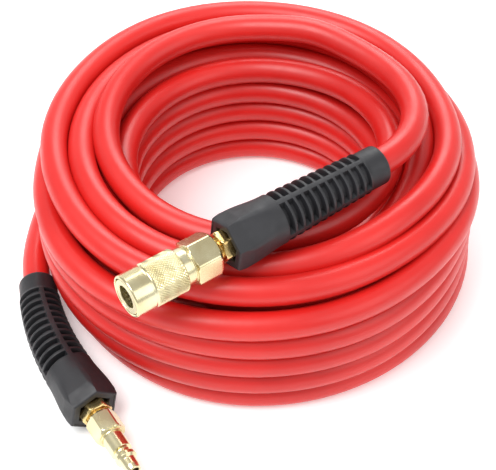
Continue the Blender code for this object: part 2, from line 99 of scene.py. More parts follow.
TOP_OUTER = (
    (91, 7.39, 5.37), (106, 7.49, 5.37), (122, 7.57, 5.37), (139, 7.50, 5.37), (153, 7.42, 5.37),
    (178, 7.40, 5.37), (193, 7.30, 5.37), (212, 7.31, 5.37), (233, 7.38, 5.37), (268, 7.31, 5.37),
    (302, 7.25, 5.30), (316, 7.22, 5.20), (335, 7.40, 4.98), (355, 7.60, 4.72), (375, 7.66, 4.58),
    (400, 7.63, 4.50), (450, 7.53, 4.50), (500, 7.52, 4.50), (540, 7.52, 4.50), (551, 7.72, 4.50),
    (563, 7.95, 4.50), (582, 8.18, 4.50), (605, 8.18, 4.50), (629, 8.06, 4.50), (649, 8.00, 4.48),
    (674, 7.86, 4.46), (690, 7.84, 4.38), (712, 7.80, 4.10), (740, 7.76, 3.70), (770, 7.75, 3.50),
    (800, 7.75, 3.50),
)

# The coil's columns of turns, in hose diameters: the inner one's radius, and the outer one's by degrees
# round the coil, high up and at its foot
INNER_COLUMN = 4.93
OUTER_COLUMN = (
    (0, 7.69), (195, 7.75), (228, 8.05), (300, 8.05), (325, 7.84), (345, 7.69), (360, 7.69),
)
OUTER_FOOT = (
    (0, 7.80), (20, 7.80), (80, 7.42), (110, 7.35), (215, 7.35), (255, 7.80), (340, 7.83), (360, 7.80),
)
TURN = 360
COLUMNS = 4
LEVELS = 5
FOOT_HEIGHT = 0.505
WOUND_FROM = 450

# How a wound turn strays: how far in hose diameters, how fast round the coil, and from how many degrees
STRAYS = ((0.030, 0.37, 20), (0.022, 1.13, 0))

# The fittings' axes: the coupler's from its sleeve's CAD solid, the plug's given from the coil's centre
SLEEVE_LOW, SLEEVE_HIGH = (Vector(corner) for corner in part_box("coupler_sleeve"))
MOUTH = Vector((SLEEVE_LOW.x, (SLEEVE_LOW.y + SLEEVE_HIGH.y) / 2, (SLEEVE_LOW.z + SLEEVE_HIGH.z) / 2))
PLUG_HEADING = math.radians(86.0)
TIP = COIL_CENTRE + Vector((-9.93, -6.90, 0.0)) * HOSE_D + Vector((0.0, 0.0, 15.6 * MM))

# Along the fittings' axes, from the coupler's mouth or the plug's tip
COUPLER_NUT = 59.4 * MM
PLUG_NUT = 45.4 * MM
NUT_DEPTH = 0.5 * MM
HOSE_START = 9.6 * MM
RESTRICTOR_LENGTH = 99.8 * MM
RIBS_START = 31.0 * MM
RIBS_END = 86.0 * MM
RIB_COUNT = 11
RIB_WIDTH = 1.6 * MM
RIB_R = (13.8 * MM, 11.6 * MM)
CORE_R = (9.5 * MM, 9.2 * MM)
BOW_ANGLE = math.radians(23.0)
BOW_TILT = math.radians(190.0)

# How a restrictor is bowed: where from, through what angle and over what length
PLUG_BOW = (PLUG_NUT - NUT_DEPTH + RIBS_START, BOW_ANGLE, RESTRICTOR_LENGTH - RIBS_START)
COUPLER_BOW = (0.0, 0.0, 1.0)


# ---- materials -------------------------------------------------------------------------------------------


def shader_of(name):
    """A new node material, with its nodes, its links and its shader."""
    made = bpy.data.materials.new(name)
    made.use_nodes = True
    return made, made.node_tree.nodes, made.node_tree.links, made.node_tree.nodes["Principled BSDF"]


def noise(nodes, links, scale, detail):
    """A noise texture in object space."""
    place = nodes.new("ShaderNodeTexCoord")
    made = nodes.new("ShaderNodeTexNoise")
    made.inputs["Scale"].default_value = scale
    made.inputs["Detail"].default_value = detail
    links.new(place.outputs["Object"], made.inputs["Vector"])
    return made


def ramp(nodes, links, source, stops, target):
    """Sends a texture's value to a socket as a colour, by its (position, colour) stops."""
    made = nodes.new("ShaderNodeValToRGB")
    made.color_ramp.elements[0].position, made.color_ramp.elements[0].color = stops[0]
    made.color_ramp.elements[1].position, made.color_ramp.elements[1].color = stops[-1]
    for position, colour in stops[1:-1]:
        made.color_ramp.elements.new(position).color = colour
    links.new(source, made.inputs["Fac"])
    links.new(made.outputs["Color"], target)


def span(nodes, links, source, low, high, target):
    """Sends a texture's value to a socket, from low to high."""
    made = nodes.new("ShaderNodeMapRange")
    made.inputs["From Min"].default_value = 0.3
    made.inputs["From Max"].default_value = 0.7
    made.inputs["To Min"].default_value = low
    made.inputs["To Max"].default_value = high
    links.new(source, made.inputs["Value"])
    links.new(made.outputs["Result"], target)


def bump(nodes, links, source, strength, distance, shader, below=None):
    """Raises the surface by a texture's value, on top of another bump if one is given."""
    made = nodes.new("ShaderNodeBump")
    made.inputs["Strength"].default_value = strength
    made.inputs["Distance"].default_value = distance
    links.new(source, made.inputs["Height"])
    if below:
        links.new(below.outputs["Normal"], made.inputs["Normal"])
    links.new(made.outputs["Normal"], shader.inputs["Normal"])
    return made


def hose_material():
    """Smooth rubber with a soft shine, faint clouding and a fine orange peel."""
    made, nodes, links, shader = shader_of("red_hose_rubber")
    cloud = noise(nodes, links, 14.0, 4.0)
    ramp(nodes, links, cloud.outputs["Fac"], (
        (0.30, (0.560, 0.010, 0.008, 1)), (0.52, (0.640, 0.014, 0.011, 1)),
        (0.75, (0.700, 0.020, 0.015, 1)),
    ), shader.inputs["Base Color"])
    shine = noise(nodes, links, 60.0, 5.0)
    span(nodes, links, shine.outputs["Fac"], 0.34, 0.46, shader.inputs["Roughness"])
    broad = bump(nodes, links, noise(nodes, links, 90.0, 2.0).outputs["Fac"], 0.25, 0.0004, shader)
    bump(nodes, links, noise(nodes, links, 1400.0, 2.0).outputs["Fac"], 0.12, 0.0001, shader, broad)
    shader.inputs["Coat Weight"].default_value = 0.12
    shader.inputs["Coat Roughness"].default_value = 0.3
    return made


def moulded_material():
    """Black moulded rubber with a fine grain and a faint clouding."""
    made, nodes, links, shader = shader_of("black_moulded_rubber")
    cloud = noise(nodes, links, 45.0, 6.0)
    ramp(nodes, links, cloud.outputs["Fac"], (
        (0.3, (0.012, 0.012, 0.014, 1)), (0.55, (0.018, 0.018, 0.021, 1)), (0.8, (0.028, 0.028, 0.032, 1)),
    ), shader.inputs["Base Color"])
    shine = noise(nodes, links, 160.0, 4.0)
    span(nodes, links, shine.outputs["Fac"], 0.42, 0.60, shader.inputs["Roughness"])
    bump(nodes, links, noise(nodes, links, 1800.0, 3.0).outputs["Fac"], 0.3, 0.0002, shader)
    return made


def metal_material(name, dark, mid, light, rough):
    """Turned metal: a clouded colour and fine tool marks."""
    made, nodes, links, shader = shader_of(name)
    shader.inputs["Metallic"].default_value = 1.0
    cloud = noise(nodes, links, 60.0, 5.0)
    ramp(nodes, links, cloud.outputs["Fac"], (
        (0.30, (*dark, 1)), (0.5, (*mid, 1)), (0.72, (*light, 1)),
    ), shader.inputs["Base Color"])
    marks = noise(nodes, links, 900.0, 3.0)
    span(nodes, links, marks.outputs["Fac"], rough[0], rough[1], shader.inputs["Roughness"])
    bump(nodes, links, marks.outputs["Fac"], 0.10, 0.00004, shader)
    return made


def seal_material():
    made, nodes, links, shader = shader_of("seal_rubber")
    cloud = noise(nodes, links, 300.0, 3.0)
    ramp(nodes, links, cloud.outputs["Fac"], (
        (0.3, (0.010, 0.010, 0.010, 1)), (0.7, (0.022, 0.022, 0.022, 1)),
    ), shader.inputs["Base Color"])
    span(nodes, links, cloud.outputs["Fac"], 0.4, 0.6, shader.inputs["Roughness"])
    return made


def floor_material():
    made, nodes, links, shader = shader_of("pale_floor")
    cloud = noise(nodes, links, 3.0, 2.0)
    ramp(nodes, links, cloud.outputs["Fac"], (
        (0.3, (0.93, 0.93, 0.93, 1)), (0.7, (0.95, 0.95, 0.95, 1)),
    ), shader.inputs["Base Color"])
    shader.inputs["Roughness"].default_value = 0.9
    shader.inputs["Emission Color"].default_value = (1.0, 1.0, 1.0, 1)
    shader.inputs["Emission Strength"].default_value = 0.25
    return made


# ---- shapes ----------------------------------------------------------------------------------------------


def smoothstep(low, high, value):
    """0 below low, 1 above high, and a smooth rise between them."""
    share = min(max((value - low) / (high - low), 0.0), 1.0)
    return share * share * (3 - 2 * share)


def between(pair, share):
    """The value this far from the pair's first to its second."""
    return pair[0] + (pair[1] - pair[0]) * share


def bowed(point, start, angle, length):
    """A point of a straight solid along X, moved as the solid bows through an angle over a length."""
    x, y, z = point
    if x <= start or not angle:
        return (x, y, z)
    radius = length / angle
    side = Vector((math.cos(BOW_TILT), math.sin(BOW_TILT)))
    across = y * side.x + z * side.y
    turned_by = min((x - start) / radius, angle)
    reach = x - start - radius * turned_by
    along = start + (radius - across) * math.sin(turned_by) + reach * math.cos(turned_by)
    moved = radius - (radius - across) * math.cos(turned_by) + reach * math.sin(turned_by) - across
    return (along, y + moved * side.x, z + moved * side.y)


def coupler_place(point):
    """A point on the coupler's axis frame, in the world."""
    return MOUTH + Vector(point)


def plug_place(point):
    """A point in the plug's axis frame, in the world."""
    x, y, z = point
    cos, sin = math.cos(PLUG_HEADING), math.sin(PLUG_HEADING)
    return TIP + Vector((x * cos - y * sin, x * sin + y * cos, z))


def on_hexagon(radius, flat, angle):
    """The radius of a round bar cut by six flats at this distance, towards an angle."""
    to_flat = (angle % math.radians(60)) - math.radians(30)
    return min(radius, flat / math.cos(to_flat))


def finish_mesh(name, mesh, look, sharp=32):
    """Makes the object of a finished bmesh, shaded smooth between its sharp edges."""
    bmesh.ops.recalc_face_normals(mesh, faces=mesh.faces)
    data = bpy.data.meshes.new(name)
    mesh.to_mesh(data)
    mesh.free()
    data.materials.append(look)
    data.shade_smooth()
    data.set_sharp_from_angle(angle=math.radians(sharp))
    made = bpy.data.objects.new(name, data)
    bpy.context.scene.collection.objects.link(made)
    return made


def skin(name, rows, place, look, sharp=32):
    """A closed mesh from rings of (x, radius, angle) points. The last ring joins the first one."""
    mesh = bmesh.new()
    rings = []
    for row in rows:
        rings.append([
            mesh.verts.new(place((x, r * math.cos(a), r * math.sin(a)))) for x, r, a in row
        ])
    for near, far in zip(rings, rings[1:] + rings[:1]):
        for i in range(len(near)):
            j = (i + 1) % len(near)
            mesh.faces.new((near[i], near[j], far[j], far[i]))
    return finish_mesh(name, mesh, look, sharp)


def supported(rows):
    """The same rings, with one more close to each end of a long span, so that its shading stays true."""
    made = []
    for near, far in zip(rows, rows[1:] + rows[:1]):
        made.append(near)
        span_length = abs(far[0][0] - near[0][0])
        if span_length > 2 * MM:
            inset = 0.2 * MM / span_length
            for share in (inset, 1 - inset):
                made.append([
                    (between((a[0], b[0]), share), between((a[1], b[1]), share), a[2])
                    for a, b in zip(near, far)
                ])
    return made


def turned(name, outline, place, look, columns=96, bevel=0.0, sharp=32):
    """A ring-shaped solid from a closed outline of (x, radius) points. A radius can be a function."""
    angles = [math.tau * i / columns for i in range(columns)]
    rows = [
        [(x, radius(x, a) if callable(radius) else radius, a) for a in angles] for x, radius in outline
    ]
    made = skin(name, supported(rows), place, look, sharp)
    if bevel:
        rounding = made.modifiers.new("rounded_edges", "BEVEL")
        rounding.width = bevel
        rounding.segments = 2
        rounding.limit_method = "ANGLE"
        rounding.angle_limit = math.radians(35)
        rounding.harden_normals = True
    return made


def rolled(place, angle):
    """The same place function, for a solid turned about its own axis first."""
    cos, sin = math.cos(angle), math.sin(angle)

    def put(point):
        x, y, z = point
        return place((x, y * cos - z * sin, y * sin + z * cos))
    return put


def tube(name, rings, look):
    """A solid bar skinned over rings of points, with a flat face on each end."""
    mesh = bmesh.new()
    rings = [[mesh.verts.new(point) for point in ring] for ring in rings]
    for near, far in zip(rings, rings[1:]):
        for k in range(len(near)):
            j = (k + 1) % len(near)
            mesh.faces.new((near[k], near[j], far[j], far[k]))
    mesh.faces.new(rings[0])
    mesh.faces.new(rings[-1])
    return finish_mesh(name, mesh, look, 50)


def ring_about(point, side, up, radius, count):
    """Points round a centre, in the plane of two directions."""
    angles = [math.tau * k / count for k in range(count)]
    return [point + (side * math.cos(a) + up * math.sin(a)) * radius for a in angles]


def hexagon(corner, flat):
    """A radius function of a hexagonal bar with its corners turned down to a radius."""
    return lambda x, angle: on_hexagon(corner, flat, angle)


def thread(crest, depth, pitch):
    """A radius function of a helical thread."""
    def radius(x, angle):
        phase = (x / pitch - angle / math.tau) % 1.0
        return crest - depth * abs(2 * phase - 1)
    return radius


# ---- the hose --------------------------------------------------------------------------------------------


def catmull(points, samples):
    """A smooth curve through points, with this many samples on each span."""
    ends = [2 * points[0] - points[1], *points, 2 * points[-1] - points[-2]]
    curve = []
    for a, b, c, d in zip(ends, ends[1:], ends[2:], ends[3:]):
        for i in range(samples):
            t = i / samples
            curve.append(
                0.5 * (2 * b + (c - a) * t)
                + 0.5 * ((2 * a - 5 * b + 4 * c - d) * t**2 + (3 * b - a - 3 * c + d) * t**3)
            )
    return curve + [points[-1].copy()]


def evened(points, step):
    """The same line with its points this far apart."""
    made = [points[0]]
    left = step
    for near, far in zip(points, points[1:]):
        gap = (far - near).length
        while left <= gap:
            made.append(near.lerp(far, left / gap))
            left += step
        left -= gap
    return made + [points[-1]]


def relaxed(points, rounds):
    """The same line with its kinks eased, its ends kept."""
    for _ in range(rounds):
        points = [points[0]] + [
            (a + 2 * b + c) / 4 for a, b, c in zip(points, points[1:], points[2:])
        ] + [points[-1]]
    return points


def on_coil(degrees, radius, height):
    """A point of the coil, in the world: degrees round it, and the rest in hose diameters."""
    angle = math.radians(degrees) + COIL_TURN
    flat = Vector((radius * math.cos(angle), radius * math.sin(angle), height))
    return COIL_CENTRE + flat * HOSE_D


def wander(degrees):
    """How far a wound turn strays from its true radius, in hose diameters."""
    return sum(far * math.sin(math.radians(degrees * rate + start)) for far, rate, start in STRAYS)


def profile(stops, degrees):
    """A radius that changes round the coil, from its (degrees, radius) stops."""
    angle = degrees % TURN
    for near, far in zip(stops, stops[1:]):
        if angle <= far[0]:
            return between((near[1], far[1]), (angle - near[0]) / (far[0] - near[0]))


def column(number, degrees, height):
    """The radius of a column of turns, 0 for the inner one to 3 for the outer one."""
    foot, high = profile(OUTER_FOOT, degrees), profile(OUTER_COLUMN, degrees)
    outer = between((foot, high), smoothstep(0.5, 2.0, height))
    stray = wander(degrees) * (number < 2.5)
    return INNER_COLUMN + (outer - INNER_COLUMN) * number / (COLUMNS - 1) + stray


def turns(start, end, columns, heights, change=60):
    """Turns in one column at one height, which change to the next ones in their last degrees."""
    made = []
    for degrees in range(start, end, 10):
        share = smoothstep(end - change, end, degrees)
        height = between(heights, share)
        made.append((degrees, column(between(columns, share), degrees, height), height))
    return made


def shifted(points, degrees):
    """The same points, this many degrees further along the winding."""
    return [(angle + degrees, radius, height) for angle, radius, height in points]


def eased(points):
    """Points every few degrees through (degrees, radius, height) points, their corners eased."""
    made = []
    for near, far in zip(points, points[1:]):
        count = max(1, round((far[0] - near[0]) / 5))
        made += [tuple(between(pair, i / count) for pair in zip(near, far)) for i in range(count)]
    made.append(points[-1])
    for _ in range(5):
        inner = [
            (b[0], (a[1] + 2 * b[1] + c[1]) / 4, (a[2] + 2 * b[2] + c[2]) / 4)
            for a, b, c in zip(made, made[1:], made[2:])
        ]
        made = [made[0], *inner, made[-1]]
    return made


def wound_route():
    """The coil's whole winding, from the loose turn behind the coupler to the foot of the outer column."""
    route = list(TOP_INNER)

    # Down the inner column, a level at a time
    start = WOUND_FROM
    for level in range(LEVELS):
        height, last = LEVELS - 0.5 - level, level == LEVELS - 1
        end = start + (TURN if level else 200)
        route += turns(start, end, (0, int(last)), (height, height if last else height - 1))
        start = end

    # Up through the two middle columns, two turns to each level
    middle = ((1, 2, 2), (2, 1, 1), (1, 2, 2), (2, 1, 2), (2, 1, 1))
    for level, (first, second, following) in enumerate(middle):
        height, top = 0.5 + level, level == LEVELS - 1
        route += turns(start, start + TURN, (first, second), (height, height))
        end = start + (TURN + 10 if top else TURN)
        above = height if top else height + 1
        route += turns(start + TURN, end + TURN, (second, following), (height, above))
        start = end + TURN

    # Over the top, outwards, in whole turns from the middle columns
    offset = TURN * math.ceil((start - TOP_MIDDLE[0][0]) / TURN)
    route += shifted(TOP_MIDDLE, offset)
    offset += 2 * TURN
    route += shifted(TOP_OUTER, offset)

    # Down the outer column to the floor, and out to the plug's tail
    start = offset + TOP_OUTER[-1][0] + 10
    for height in (3.5, 2.5, 1.5):
        route += turns(start, start + TURN - 10, (3, 3), (height, height - 1))
        start += TURN
    route += turns(start, start + 290, (3, 3), (FOOT_HEIGHT, FOOT_HEIGHT))
    for degrees, radius in ((310, 8.02), (340, 8.35), (370, 8.42), (390, 8.36)):
        route.append((start + degrees, radius, FOOT_HEIGHT))
    return eased(route)


def inside_restrictor(place, nut_x, bow):
    """The hose's axis inside a restrictor, from its fitting outwards."""
    nose = nut_x - NUT_DEPTH
    leave = nose + RESTRICTOR_LENGTH
    xs = [nut_x + HOSE_START, nut_x + HOSE_START + 10 * MM]
    xs += [nose + RIBS_START + (leave - nose - RIBS_START) * i / 4 for i in range(5)]
    return [place(bowed((x, 0.0, 0.0), *bow)) for x in xs]


def hose_path():
    """The hose's whole centre line, from its barb at the coupler to its barb at the plug."""
    points = inside_restrictor(coupler_place, COUPLER_NUT, COUPLER_BOW)
    points += [COIL_CENTRE + Vector(p) * HOSE_D for p in COUPLER_TAIL]
    points += [on_coil(*p) for p in wound_route()]
    points += [COIL_CENTRE + Vector(p) * HOSE_D for p in PLUG_TAIL[::-1]]
    points += inside_restrictor(plug_place, PLUG_NUT, PLUG_BOW)[::-1]
    dense = evened(catmull(points, 4), 0.25 * HOSE_D)
    return evened(relaxed(dense, 8), 0.45 * HOSE_D)


def make_hose(look):
    """The hose as one tube. It also gives back its centre line."""
    path = hose_path()
    rings = []
    ahead = (path[1] - path[0]).normalized()
    side = ahead.orthogonal().normalized()
    for i, point in enumerate(path):
        ahead = (path[min(i + 1, len(path) - 1)] - path[max(i - 1, 0)]).normalized()
        side = (side - ahead * side.dot(ahead)).normalized()
        rings.append(ring_about(point, side, ahead.cross(side), HOSE_D / 2, HOSE_SIDES))
    hose = tube("hose", rings, look)
    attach(hose, FIXED)
    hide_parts("hose_coil", "hose_tail_coupler_end", "hose_tail_plug_end")
    return hose, path


# ---- the bend restrictors --------------------------------------------------------------------------------

SPINE_COUNT = 4
SPINE_HALF_ANGLE = math.radians(7.0)
SPINE_EDGE = math.radians(2.0)
HEAD_FLAT = 13.8 * MM
HEAD_CORNER = 15.6 * MM
FACET_END = 8.5 * MM
COUPLER_TURN = math.radians(8.0)
PLUG_TURN = math.radians(11.0)
HEAD_END = 28.5 * MM
RECESS_FLAT = 8.3 * MM
RECESS_DEPTH = 8.2 * MM
CAVITY_R = 9.85 * MM
CAVITY_END = 30.0 * MM
COLLAR_R = 10.9 * MM


def spine_depth(angle):
    """How much of the core shows at an angle: 1 in a window, 0 on a spine."""
    spacing = math.tau / SPINE_COUNT
    off = abs((angle + spacing / 2) % spacing - spacing / 2)
    return smoothstep(SPINE_HALF_ANGLE, SPINE_HALF_ANGLE + SPINE_EDGE, off)


def restrictor_outline():
    """A restrictor's outline from its nose, as (x, radius) points, the outside first."""
    head_end = hexagon(HEAD_CORNER - 0.2 * MM, HEAD_FLAT + 0.2 * MM)

    def tapered(share):
        return lambda x, angle: between((RIB_R[0], head_end(x, angle)), share)

    outline = [
        (0.0, hexagon(HEAD_CORNER - 0.7 * MM, HEAD_FLAT - 1.6 * MM)),
        (0.2 * MM, hexagon(HEAD_CORNER - 0.3 * MM, HEAD_FLAT - 1.2 * MM)),
        (0.7 * MM, hexagon(HEAD_CORNER, HEAD_FLAT - 0.9 * MM)),
    ]
    for i in range(1, 7):
        share = i / 6
        flat = HEAD_FLAT - 0.9 * MM + 1.1 * MM * share
        x = 0.7 * MM + (FACET_END - 0.7 * MM) * share
        outline.append((x, hexagon(HEAD_CORNER - 0.2 * MM * share, flat)))
    for i in range(1, 11):
        share = i / 10
        x = FACET_END + (HEAD_END - FACET_END) * share
        outline.append((x, tapered(1.0 - smoothstep(0, 1, share))))
    pitch = (RIBS_END - RIBS_START + RIB_WIDTH) / RIB_COUNT
    for window in range(RIB_COUNT):
        start = RIBS_START + window * pitch
        end = start + pitch - RIB_WIDTH
        edge = 0.3 * MM
        marks = (
            (start - edge, 0.0, 0.0), (start - 0.08 * MM, 0.0, 0.10 * MM), (start, 0.0, 0.35 * MM),
            (start + 0.25 * MM, 1.0, 0.0), (end - 0.25 * MM, 1.0, 0.0),
            (end, 0.0, 0.35 * MM), (end + 0.08 * MM, 0.0, 0.10 * MM), (end + edge, 0.0, 0.0),
        )
        for x, deep, inset in marks:
            share = (x - RIBS_START) / (RIBS_END - RIBS_START)
            outline.append((x, window_radius(deep, inset, share)))
    outline += [
        (RIBS_END + 1.2 * MM, COLLAR_R + 0.15 * MM), (RIBS_END + 2.4 * MM, COLLAR_R),
        (RESTRICTOR_LENGTH - 1.4 * MM, COLLAR_R), (RESTRICTOR_LENGTH - 0.5 * MM, COLLAR_R - 0.25 * MM),
        (RESTRICTOR_LENGTH, COLLAR_R - 0.9 * MM), (RESTRICTOR_LENGTH, HOSE_D / 2 + 0.25 * MM),
    ]
    for i in range(1, 13):
        x = RESTRICTOR_LENGTH - (RESTRICTOR_LENGTH - CAVITY_END) * i / 12
        outline.append((x, HOSE_D / 2 + 0.3 * MM))
    outline += [
        (CAVITY_END, CAVITY_R), (RECESS_DEPTH, CAVITY_R),
        (RECESS_DEPTH, hexagon(CAVITY_R, RECESS_FLAT)),
        (0.9 * MM, hexagon(10.2 * MM, RECESS_FLAT)),
        (0.35 * MM, hexagon(10.7 * MM, RECESS_FLAT + 0.5 * MM)),
        (0.35 * MM, hexagon(HEAD_CORNER - 1.7 * MM, HEAD_FLAT - 2.5 * MM)),
        (0.0, hexagon(HEAD_CORNER - 1.4 * MM, HEAD_FLAT - 2.2 * MM)),
    ]
    return outline


def window_radius(deep, inset, share):
    """A radius function of one place along the ribs: 0 deep is the ribs' height, and 1 is the core's."""
    rib, core = between(RIB_R, share), between(CORE_R, share)

    def radius(x, angle):
        cut = spine_depth(angle)
        return rib - inset * cut - (rib - core) * cut * deep
    return radius


def make_restrictor(end, place, nut_x, turn, bow, look):
    """A restrictor with a spine and a corner at its top, turned a little about its axis."""
    nose = nut_x - NUT_DEPTH
    put = rolled(lambda point: place(bowed(point, *bow)), turn + math.pi / 2)
    outline = [(nose + x, radius) for x, radius in restrictor_outline()]
    made = turned(f"restrictor_{end}_end", outline, put, look, columns=180, sharp=40)
    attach(made, FIXED)
    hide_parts(f"bend_restrictor_{end}_end")
    return made


# ---- the brass fittings ----------------------------------------------------------------------------------

KNURL_START = 12.3 * MM
SLEEVE_LENGTH = 30.6 * MM
SLEEVE_R = 11.4 * MM
KNURL_R = 11.8 * MM
KNURL_DEPTH = 0.8 * MM
KNURL_ROUND = 44
KNURL_PITCH = 1.65 * MM


def knurl(x, angle):
    """A diamond knurl: the ridges of two crossed helices."""
    turn = angle * KNURL_ROUND / math.tau
    first = abs(((turn + x / KNURL_PITCH) % 1.0) * 2 - 1)
    second = abs(((turn - x / KNURL_PITCH) % 1.0) * 2 - 1)
    return KNURL_R - KNURL_DEPTH * max(1 - first, 1 - second)


def make_sleeve(look):
    """The sliding sleeve, with a smooth nose, a knurled band and a land inside that holds the balls in."""
    recess, land, skirt = 9.65 * MM, 8.4 * MM, 10.5 * MM
    outline = [
        (0.0, recess + 0.35 * MM), (0.0, SLEEVE_R - 0.9 * MM), (0.3 * MM, SLEEVE_R - 0.35 * MM),
        (0.9 * MM, SLEEVE_R), (10.9 * MM, SLEEVE_R), (11.4 * MM, SLEEVE_R - 0.2 * MM),
        (KNURL_START - 0.2 * MM, SLEEVE_R - 0.2 * MM), (KNURL_START + 0.3 * MM, KNURL_R - 0.1 * MM),
    ]
    rows = 64
    first, last = KNURL_START + 0.5 * MM, SLEEVE_LENGTH - 0.9 * MM
    outline += [(first + (last - first) * i / rows, knurl) for i in range(rows + 1)]
    outline += [
        (SLEEVE_LENGTH - 0.6 * MM, KNURL_R - 0.1 * MM), (SLEEVE_LENGTH - 0.1 * MM, KNURL_R - 0.5 * MM),
        (SLEEVE_LENGTH, KNURL_R - 0.7 * MM), (SLEEVE_LENGTH, skirt), (10.3 * MM, skirt), (10.3 * MM, land),
        (7.5 * MM, land), (3.6 * MM, land + 0.85 * MM), (3.6 * MM, recess), (0.35 * MM, recess),
    ]
    made = turned("sleeve", outline, coupler_place, look, columns=360, sharp=50)
    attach(made, "sleeve")
    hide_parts("coupler_sleeve")


BALL_R = 1.5875 * MM
BALL_COUNT = 6
BALL_HOLE_R = BALL_R + 0.15 * MM


def ball_centre(number):
    """The middle of a locking ball, from its CAD solid."""
    low, high = (Vector(corner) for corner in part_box(f"locking_ball_{number}"))
    return (low + high) / 2


def bore_ball_holes(socket):
    """Cuts the balls' holes through the socket's wall."""
    drills = bmesh.new()
    for number in range(1, BALL_COUNT + 1):
        centre = ball_centre(number)
        out = Vector((0.0, centre.y - MOUTH.y, centre.z - MOUTH.z))
        place = Matrix.Translation(centre) @ out.to_track_quat("Z", "X").to_matrix().to_4x4()
        bmesh.ops.create_cone(
            drills, cap_ends=True, segments=32, radius1=BALL_HOLE_R, radius2=BALL_HOLE_R, depth=6 * MM,
            matrix=place,
        )
    data = bpy.data.meshes.new("drills")
    drills.to_mesh(data)
    drills.free()
    tool = bpy.data.objects.new("drills", data)
    bpy.context.scene.collection.objects.link(tool)
    cut = socket.modifiers.new("holes", "BOOLEAN")
    cut.operation = "DIFFERENCE"
    cut.solver = "EXACT"
    cut.object = tool
    bpy.context.view_layer.update()
    seen_socket = socket.evaluated_get(bpy.context.evaluated_depsgraph_get())
    bored = bpy.data.meshes.new_from_object(seen_socket)
    socket.modifiers.clear()
    socket.data = bored
    bored.set_sharp_from_angle(angle=math.radians(32))
    bpy.data.objects.remove(tool)


def make_socket(look):
    """The coupler's front tube. Its flange fills the sleeve's mouth."""
    mouth, outer, seal_bore, chamber = 6.15 * MM, 8.1 * MM, 4.75 * MM, 7.0 * MM
    outline = (
        (0.3 * MM, mouth + 0.2 * MM), (0.3 * MM, 9.2 * MM), (0.5 * MM, 9.4 * MM), (1.5 * MM, 9.4 * MM),
        (1.5 * MM, outer), (2.3 * MM, outer), (2.3 * MM, 7.2 * MM), (3.3 * MM, 7.2 * MM),
        (3.3 * MM, outer),
        (36.0 * MM, outer), (36.0 * MM, chamber), (24.2 * MM, chamber), (24.2 * MM, seal_bore),
        (15.6 * MM, seal_bore), (15.6 * MM, 6.35 * MM), (13.2 * MM, 6.35 * MM), (13.2 * MM, seal_bore),
        (12.6 * MM, seal_bore), (12.3 * MM, mouth), (0.6 * MM, mouth),
    )
    made = turned("socket", outline, coupler_place, look)
    bore_ball_holes(made)
    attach(made, FIXED)
    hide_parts("coupler_socket")


def make_body(look):
    """The coupler's back half: a round neck and a hexagon with a threaded hole behind."""
    flat, corner, round_r = 10.9 * MM, 12.3 * MM, 10.2 * MM
    start, hex_start, end, bore = 24.0 * MM, 36.2 * MM, 51.0 * MM, 6.75 * MM
    outline = [
        (start, 8.4 * MM), (start, round_r - 0.6 * MM), (start + 0.6 * MM, round_r),
        (hex_start - 1.6 * MM, round_r), (hex_start - 1.5 * MM, round_r - 0.5 * MM),
        (hex_start - 0.5 * MM, round_r - 0.5 * MM), (hex_start - 0.4 * MM, round_r),
        (hex_start, round_r), (hex_start + 0.15 * MM, hexagon(round_r + 0.9 * MM, flat)),
        (hex_start + 0.7 * MM, hexagon(corner, flat)), (end - 1.5 * MM, hexagon(corner, flat)),
        (end - 0.7 * MM, hexagon(corner - 0.75 * MM, flat)),
        (end, hexagon(flat + 0.02 * MM, flat - 0.25 * MM)),
        (end, bore + 0.5 * MM), (end - 0.6 * MM, bore), (41.5 * MM, bore), (41.5 * MM, 3.6 * MM),
        (39.6 * MM, 3.6 * MM), (39.6 * MM, 7.3 * MM), (36.3 * MM, 7.3 * MM), (36.3 * MM, 8.4 * MM),
    ]
    put = rolled(coupler_place, math.radians(27.0))
    made = turned("body", outline, put, look, columns=180, bevel=0.12 * MM)
    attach(made, FIXED)
    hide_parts("coupler_body")


def make_plug(look):
    """The quick plug: a nose, a ball groove, a stem and a hexagon with a threaded hole behind."""
    flat, corner, nose, stem, bore = 7.85 * MM, 8.9 * MM, 4.4 * MM, 5.9 * MM, 6.75 * MM
    outline = [
        (0.0, nose - 1.1 * MM), (0.15 * MM, nose - 0.85 * MM), (0.6 * MM, nose - 0.6 * MM),
        (3.0 * MM, nose - 0.1 * MM), (7.2 * MM, nose), (7.5 * MM, nose + 0.15 * MM),
        (8.3 * MM, stem - 0.25 * MM),
        (8.6 * MM, stem), (10.4 * MM, stem), (10.7 * MM, stem - 0.2 * MM), (11.2 * MM, 4.45 * MM),
        (11.5 * MM, 4.3 * MM), (13.2 * MM, 4.3 * MM), (13.5 * MM, 4.45 * MM), (14.0 * MM, stem - 0.2 * MM),
        (14.3 * MM, stem), (24.7 * MM, stem), (25.2 * MM, stem + 0.3 * MM),
        (25.2 * MM, hexagon(flat - 0.1 * MM, flat - 0.3 * MM)),
        (25.9 * MM, hexagon(corner - 0.5 * MM, flat)),
        (26.8 * MM, hexagon(corner, flat)), (37.2 * MM, hexagon(corner, flat)),
        (38.0 * MM, hexagon(corner - 0.5 * MM, flat)),
        (38.6 * MM, hexagon(flat - 0.1 * MM, flat - 0.3 * MM)),
        (38.6 * MM, bore + 0.4 * MM), (38.1 * MM, bore), (27.5 * MM, bore), (27.5 * MM, 2.6 * MM),
        (0.3 * MM, 2.6 * MM), (0.0, 2.9 * MM),
    ]
    made = turned("plug", outline, plug_place, look, columns=144, bevel=0.1 * MM)
    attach(made, FIXED)
    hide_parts("quick_plug")
    return made


